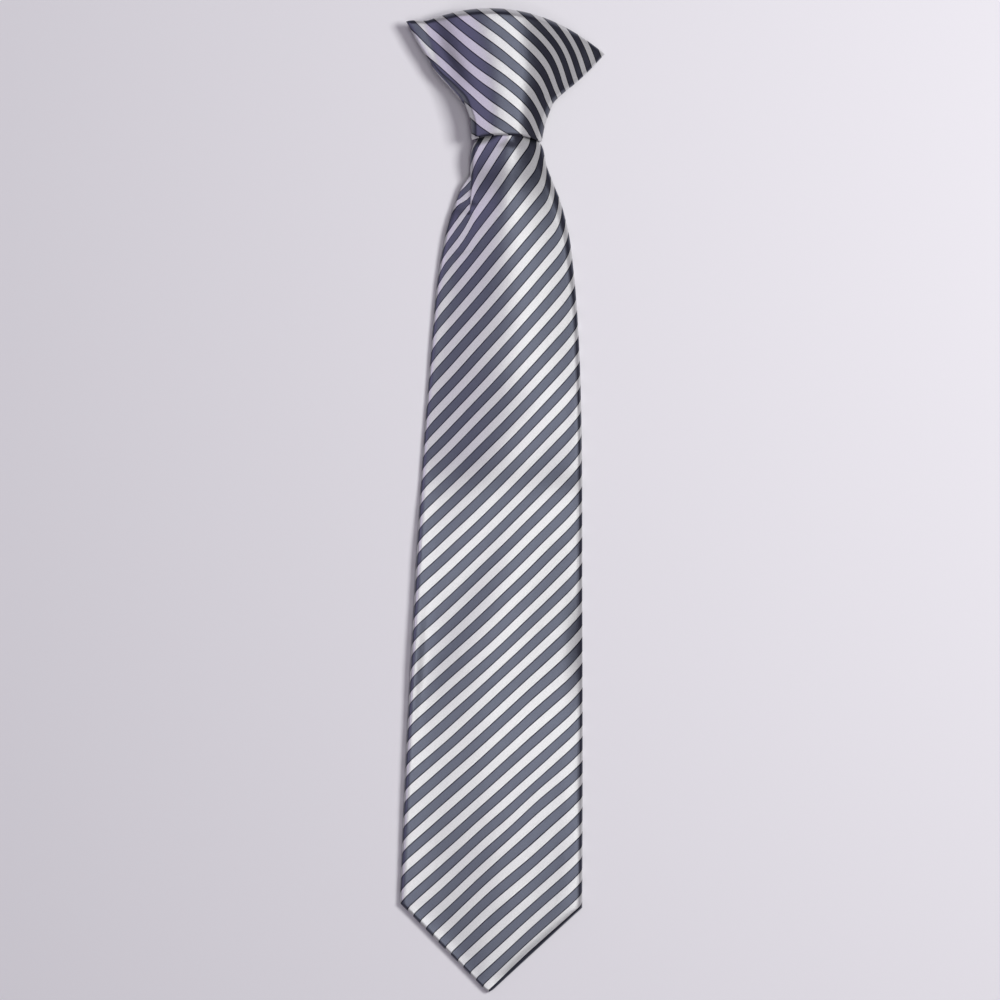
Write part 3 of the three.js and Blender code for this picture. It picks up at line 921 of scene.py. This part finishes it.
knot = {
    "width": 0.0924,
    "height": 0.0446,
    "topRise": 0.0142,
    "mouthWidth": 0.0313,
    "mouthShift": 0.001,
    "wingShift": 0.0028,
    "wingTilt": 5.76,  # degrees
    "wall": 0.0008,
    "sheet": (0.20, 0.12),  # the cloth that it takes, laid flat
    "mouthFold": 0.0009,  # radius of the cloth turned in at the mouth
    "liningReach": 0.4,  # how far up the turned-in cloth goes, as a share of the height
    "wingThickness": 0.0028,
    "mouthRim": 0.006,
    "mouthDepth": 0.0109,
    "depth": 0.0136,
    "topFold": 0.0022,
    "leftWingDrop": 0.0005,
    "leftTipRise": 0.0032,  # the end of the left wing is blunt: how far its top corner stands up
    "leftTipReach": 0.0013,
    "rightWingDrop": 0.0052,
    "flatBackWidth": 0.040,
    "back": 0.0071,
    "leastRoll": 0.0004,
    "underfoldReach": 0.0016,
    "underfoldEdge": 0.0019,
    "underfoldLift": 0.0003,
    "underfoldDepth": 0.006,
    "underfoldCount": 0.72,
    "bellPower": {"left": 3.3, "right": 3.0},
    "mouthDip": 0.0026,  # how far the mouth's edge runs down at its two ends
    "mouthDipEnd": 0.25,  # share of the height
    "cornerReach": 0.0011,  # how far the mouth's left corner stands out
    "cornerShares": (0.6, 0.2),  # from which share of the half width, up to which of the height
    "leftTipShares": (0.8, 0.78),  # the same for the left wing's end, but from which of the height
    "valleyDepth": 0.0003,
    "valleyInside": 0.007,  # metres inside the knot's left edge
    "valleyWidth": 0.0032,
    "valleyStart": (0.12, 0.35),  # shares of the height
    "valleyEnd": (0.65, 0.9),
}

# at: share of the knot's height above its mouth; half: where the row's half width lies between half the
# mouth (0) and half the knot (1); deep: where its depth lies between the mouth's (0) and the knot's (1);
# rim: where its edge lies between a wing's (0) and the mouth's (1); left and right: half widths of the
# raised middle, as shares of the row's half width; apex: metres that its top lies to the right
knotRows = table(
    ("at", "half", "deep", "rim", "left", "right", "apex"),
    (0.0, 0.0, 0.0, 1.0, 1.3, 1.25, 0.0),
    (0.125, 0.042, 0.35, 0.9, 1.35, 1.2, 0.0006),
    (0.26, 0.116, 0.62, 0.75, 1.35, 1.15, 0.0018),
    (0.365, 0.178, 0.8, 0.6, 1.3, 1.12, 0.0018),
    (0.47, 0.314, 0.93, 0.4, 1.15, 1.1, 0.0014),
    (0.625, 0.548, 1.0, 0.15, 0.98, 1.0, 0.0005),
    (0.8, 0.774, 1.0, 0.0, 0.9, 0.88, -0.003),
    (1.0, 1.0, 0.92, 0.0, 0.85, 0.82, -0.007),
)

underfoldRows = table(
    ("at", "reach"),
    (0.3, 0.0),
    (0.36, 0.7),
    (0.45, 1.0),
    (0.55, 1.0),
    (0.65, 0.7),
    (0.72, 0.0),
)

# Stripes counted from the mouth's left corner, at five places across each row
knotStripes = table(
    ("at", "left", "midLeft", "middle", "midRight", "right"),
    (0.0, -0.55, 0.20, 0.73, 1.40, 2.55),
    (0.2, 0.30, 1.12, 1.70, 2.43, 3.72),
    (0.4, 0.85, 1.94, 2.68, 3.55, 5.09),
    (0.6, 0.97, 2.72, 3.79, 4.98, 7.28),
    (0.8, 1.35, 3.59, 5.03, 6.52, 9.15),
    (1.0, 1.91, 4.64, 6.54, 8.44, 10.61),
)
stripePlaces = {"left": -1.0, "midLeft": -0.5, "middle": 0.0, "midRight": 0.5, "right": 1.0}
knotCountShift = -0.285  # so that the counts' whole numbers fall at the middle of a dark stripe

knotRollSteps = 8
knotSpanSteps = 84
liningSteps = 9
mouthSteps = 6
knotFrontSteps = 48
topSteps = 12
underfoldSteps = 36
underfoldRun = 3
underfoldTurn = 6


# One row of the knot; inset: metres by which the turned-in cloth lies inside the front
def knotShape(at, inset=0.0):
    spread = curve(knotRows, "half", at)
    half = mix(knot["mouthWidth"] / 2, knot["width"] / 2, spread)
    edge = mix(knot["wingThickness"], knot["mouthRim"], curve(knotRows, "rim", at))
    return {
        "at": at,
        "whole": half,
        "half": half - inset,
        "bells": [half * curve(knotRows, side, at) for side in ("left", "right")],
        "back": knot["back"] + inset,
        "edge": edge - 2 * inset,
        "crown": mix(knot["mouthDepth"], knot["depth"], curve(knotRows, "deep", at)) - edge,
        "roll": max(edge / 2 - inset, knot["leastRoll"]),
        "fold": (1 - at) * knot["height"],
        "apex": curve(knotRows, "apex", at),
        "centre": -mix(knot["mouthShift"], knot["wingShift"], spread),
        "tilt": math.radians(knot["wingTilt"]) * spread,
    }


# Heights of the front and the back at x, and 1 where no rounded edge draws them together
def knotHeights(shape, x):
    past = x - shape["apex"]
    side = "left" if past < 0 else "right"
    bell = shape["bells"][0 if past < 0 else 1] + (shape["apex"] if past < 0 else -shape["apex"])
    inBell = max(0, 1 - (abs(past) / bell) ** knot["bellPower"][side])
    full = shape["edge"] + shape["crown"] * inBell**2
    pastFlat = max(0, abs(x) - (shape["half"] - shape["roll"])) / shape["roll"]
    sideRound = math.sqrt(max(0, 1 - pastFlat**2))
    radius = min(full / 2, knot["topFold"])
    pastFold = max(0, 1 - shape["fold"] / radius)
    topRound = math.sqrt(max(0, 1 - pastFold**2))
    middle = shape["back"] + full / 2
    reach = full / 2 * sideRound * topRound
    return middle + reach, middle - reach, sideRound * topRound


# How far a wing hangs down below the flat middle of the back
def wingDrop(x):
    past = max(0, abs(x) - knot["flatBackWidth"] / 2) / ((knot["width"] - knot["flatBackWidth"]) / 2)
    return (knot["leftWingDrop"] if x < 0 else knot["rightWingDrop"]) * past**2


# The shallow valley along the knot's left side
def knotWave(shape, x):
    inside = shape["whole"] + x
    window = ease(*knot["valleyStart"], shape["at"]) * (1 - ease(*knot["valleyEnd"], shape["at"]))
    valley = math.exp(-(((inside - knot["valleyInside"]) / knot["valleyWidth"]) ** 2))
    return -knot["valleyDepth"] * valley * window


# Sets a point of a row in its place: the top bulges, the wings tilt, the mouth dips at its ends
def knotPlace(shape, x, z):
    at = shape["at"]
    share = x / shape["whole"]
    tilt = shape["tilt"]
    rise = knot["topRise"] * at**2 * (1 - min(1, share**2))
    rise -= knot["mouthDip"] * abs(share) ** 3 * (1 - ease(0, knot["mouthDipEnd"], at))
    tipAcross, tipUp = knot["leftTipShares"]
    leftTip = ease(tipAcross, 1.0, -share) * ease(tipUp, 1.0, at)
    rise += knot["leftTipRise"] * leftTip
    cornerAcross, cornerUp = knot["cornerShares"]
    corner = ease(cornerAcross, 1.0, -share) * (1 - ease(0, cornerUp, at))
    out = knot["leftTipReach"] * leftTip + knot["cornerReach"] * corner
    return Vector((
        axisX + shape["centre"] + x * math.cos(tilt) + rise * math.sin(tilt) - out,
        mouthY + at * knot["height"] - x * math.sin(tilt) + rise * math.cos(tilt),
        z - wingDrop(x),
    ))


# How many stripes up the knot a place lies; past its sides the count goes on at its last pace
def knotCount(share, at):
    row = [{"at": place, "count": curve(knotStripes, name, at)} for name, place in stripePlaces.items()]
    count = curve(row, "count", share)
    if share > 1:
        count += (share - 1) * 2 * (row[4]["count"] - row[3]["count"])
    if share < -1:
        count += (share + 1) * 2 * (row[1]["count"] - row[0]["count"])
    return count + knotCountShift


# The stripes of the knot run at 45 degrees, near enough
def knotAlong(place):
    return (place.x - place.y) / math.sqrt(2)


def knotAcross(shape):
    left = []
    for i in range(knotRollSteps):
        turn = math.pi / 2 * i / knotRollSteps
        left.append(-shape["half"] + shape["roll"] * (1 - math.cos(turn)))
    flat = shape["half"] - shape["roll"]
    span = [mix(-flat, flat, i / knotSpanSteps) for i in range(knotSpanSteps + 1)]
    return left + span + [-x for x in reversed(left)]


# One ring of the knot's cloth: over the front from left to right, and back underneath
def knotRing(at, inset=0.0):
    shape = knotShape(at, inset)
    xs = knotAcross(shape)
    front, back = [], []
    for x in xs:
        high, low, share = knotHeights(shape, x)
        wave = knotWave(shape, x) * share
        front.append(knotPlace(shape, x, high + wave))
        back.append(knotPlace(shape, x, low))
    half = shape["whole"]
    turnedIn = -1 if inset > 0 else 1
    upper, lower = [], []
    for x, place in zip(xs, front):
        upper.append((place, knotCount(x / half, at * turnedIn), knotAlong(place)))
    for x, place in zip(xs, back):
        top = knotCount(x / half, 1)
        pace = 10 * (top - knotCount(x / half, 0.9))  # stripes to the knot's height, near its top
        lower.append((place, top + pace * (1 - at), knotAlong(place)))
    return upper, list(reversed(lower))


# A folded layer that shows along the knot's left edge, under the front
def underfold():
    rows = []
    radius = knot["underfoldEdge"] / 2
    low = knot["back"] + knot["underfoldLift"]
    for i in range(underfoldSteps + 1):
        at = mix(underfoldRows[0]["at"], underfoldRows[-1]["at"], i / underfoldSteps)
        shape = knotShape(at)
        outer = -shape["half"] - knot["underfoldReach"] * curve(underfoldRows, "reach", at)
        inner = outer + knot["underfoldDepth"]
        edge = outer + radius
        profile = [(mix(inner, edge, j / underfoldRun), low) for j in range(underfoldRun)]
        for j in range(underfoldTurn):
            turn = math.pi * j / underfoldTurn
            profile.append((outer + radius * (1 - math.sin(turn)), low + radius * (1 - math.cos(turn))))
        for j in range(underfoldRun + 1):
            profile.append((mix(edge, inner, j / underfoldRun), low + 2 * radius))
        row = []
        for x, z in profile:
            beyond = clamp((-shape["half"] - x) / knot["underfoldReach"], -1, 1)
            place = knotPlace(shape, x, z)
            row.append((place, knot["underfoldCount"] + 0.5 * beyond, knotAlong(place)))
        rows.append(row)
    return rows


# Where the knot's rings lie, as (share of the height, inset): up inside the mouth's turned-in cloth,
# round its fold, and up the front to the fold at the top
def knotSteps():
    height, radius = knot["height"], knot["mouthFold"]
    steps = []
    for i in range(liningSteps):
        steps.append((mix(knot["liningReach"], radius / height, i / liningSteps), 2 * radius))
    for i in range(mouthSteps + 1):
        turn = math.pi * i / mouthSteps
        steps.append((radius * (1 - math.sin(turn)) / height, radius * (1 + math.cos(turn))))
    foldStart = 1 - knot["topFold"] / height
    for i in range(1, knotFrontSteps):
        steps.append((mix(radius / height, foldStart, i / knotFrontSteps), 0.0))
    for i in range(topSteps + 1):
        turn = math.pi / 2 * i / topSteps
        steps.append((1 - knot["topFold"] * (1 - math.sin(turn)) / height, 0.0))
    return steps


def makeKnot():
    upper, lower = [], []
    for at, inset in knotSteps():
        front, back = knotRing(min(1, at), max(0, inset))
        upper.append(front)
        lower.append(back)
    cloth = makeCloth("knotCloth", [upper, lower, underfold()], knot["wall"], stripedSatin)
    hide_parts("knot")
    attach(cloth, "root")


makeKnot()

# Clip: polished nickel on the bent strip

nickel = {
    "colour": (0.62, 0.61, 0.58, 1),
    "lines": (4000, 60, 400),  # to the metre, along each axis
    "lineDetail": 3.0,
    "roughness": 0.16,
    "lineRoughness": 0.18,
    "bumpStrength": 0.15,
    "lineHeight": 0.00005,
}


def makeNickel():
    material, tree, shader = newMaterial("polishedNickel")
    shader.inputs["Base Color"].default_value = nickel["colour"]
    shader.inputs["Metallic"].default_value = 1.0
    where = addNode(tree, "ShaderNodeTexCoord")
    stretch = addNode(tree, "ShaderNodeMapping")
    stretch.inputs["Scale"].default_value = nickel["lines"]
    tree.links.new(where.outputs["Object"], stretch.inputs["Vector"])
    lines = addNode(tree, "ShaderNodeTexNoise")
    lines.inputs["Scale"].default_value = 1.0
    lines.inputs["Detail"].default_value = nickel["lineDetail"]
    tree.links.new(stretch.outputs[0], lines.inputs["Vector"])
    share, least = nickel["lineRoughness"], nickel["roughness"]
    rough = mathNode(tree, "MULTIPLY_ADD", lines.outputs[0], share, least)
    tree.links.new(rough, shader.inputs["Roughness"])
    addBump(tree, shader, lines.outputs[0], nickel["bumpStrength"], nickel["lineHeight"])
    return material


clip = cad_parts["clip"]
clip.data.materials.clear()
clip.data.materials.append(makeNickel())
print("clip finished")

# Floor and light

stage = {
    "floorSize": 8.0,
    "floorColour": (0.80, 0.79, 0.83, 1),
    "floorRoughness": 0.9,
    "floorSpecular": 0.1,
    "floorDrop": 0.0002,
    "world": (0.86, 0.69, 1.0, 1),
    "worldStrength": 0.13,
}

# lights: whether it brightens matt surfaces; shines: whether it shows in glossy ones
softBoxes = [
    {
        "name": "keyBox",
        "centre": (0.17, 0.05, 2.0),
        "aim": (0.17, 0.05, 0.0),
        "size": (0.46, 1.70),
        "power": 10.6,
        "colour": (1.0, 1.0, 0.99),
        "lights": True,
        "shines": True,
    },
    {
        "name": "sideBox",
        "centre": (0.90, 0.35, 1.25),
        "aim": (0.0, 0.05, 0.0),
        "size": (0.50, 0.50),
        "power": 17.5,
        "colour": (1.0, 1.0, 0.98),
        "lights": True,
        "shines": False,
    },
    {
        "name": "leftFill",
        "centre": (-0.80, 0.1, 0.97),
        "aim": (0.0, 0.0, 0.0),
        "size": (1.00, 1.20),
        "power": 5.2,
        "colour": (0.80, 0.69, 1.0),
        "lights": False,
        "shines": True,
    },
]


def makeFloor():
    bpy.ops.mesh.primitive_plane_add(size=stage["floorSize"], location=(0, 0, -stage["floorDrop"]))
    floor = bpy.context.active_object
    floor.name = "floor"
    material, tree, shader = newMaterial("paleFloor")
    shader.inputs["Base Color"].default_value = stage["floorColour"]
    shader.inputs["Roughness"].default_value = stage["floorRoughness"]
    shader.inputs["Specular IOR Level"].default_value = stage["floorSpecular"]
    floor.data.materials.append(material)


def makeLights():
    for box in softBoxes:
        data = bpy.data.lights.new(box["name"], "AREA")
        data.shape = "RECTANGLE"
        data.size, data.size_y = box["size"]
        data.energy = box["power"]
        data.color = box["colour"]
        lamp = bpy.data.objects.new(box["name"], data)
        bpy.context.scene.collection.objects.link(lamp)
        lamp.location = box["centre"]
        lamp.visible_diffuse = box["lights"]
        lamp.visible_glossy = box["shines"]
        look = Vector(box["aim"]) - Vector(box["centre"])
        lamp.rotation_euler = look.to_track_quat("-Z", "Y").to_euler()


def makeWorld():
    world = bpy.data.worlds.new("studio")
    world.use_nodes = True
    background = world.node_tree.nodes["Background"]
    background.inputs["Color"].default_value = stage["world"]
    background.inputs["Strength"].default_value = stage["worldStrength"]
    bpy.context.scene.world = world
    bpy.context.scene.view_settings.view_transform = "Standard"


makeFloor()
makeLights()
makeWorld()
print("floor and lights made")
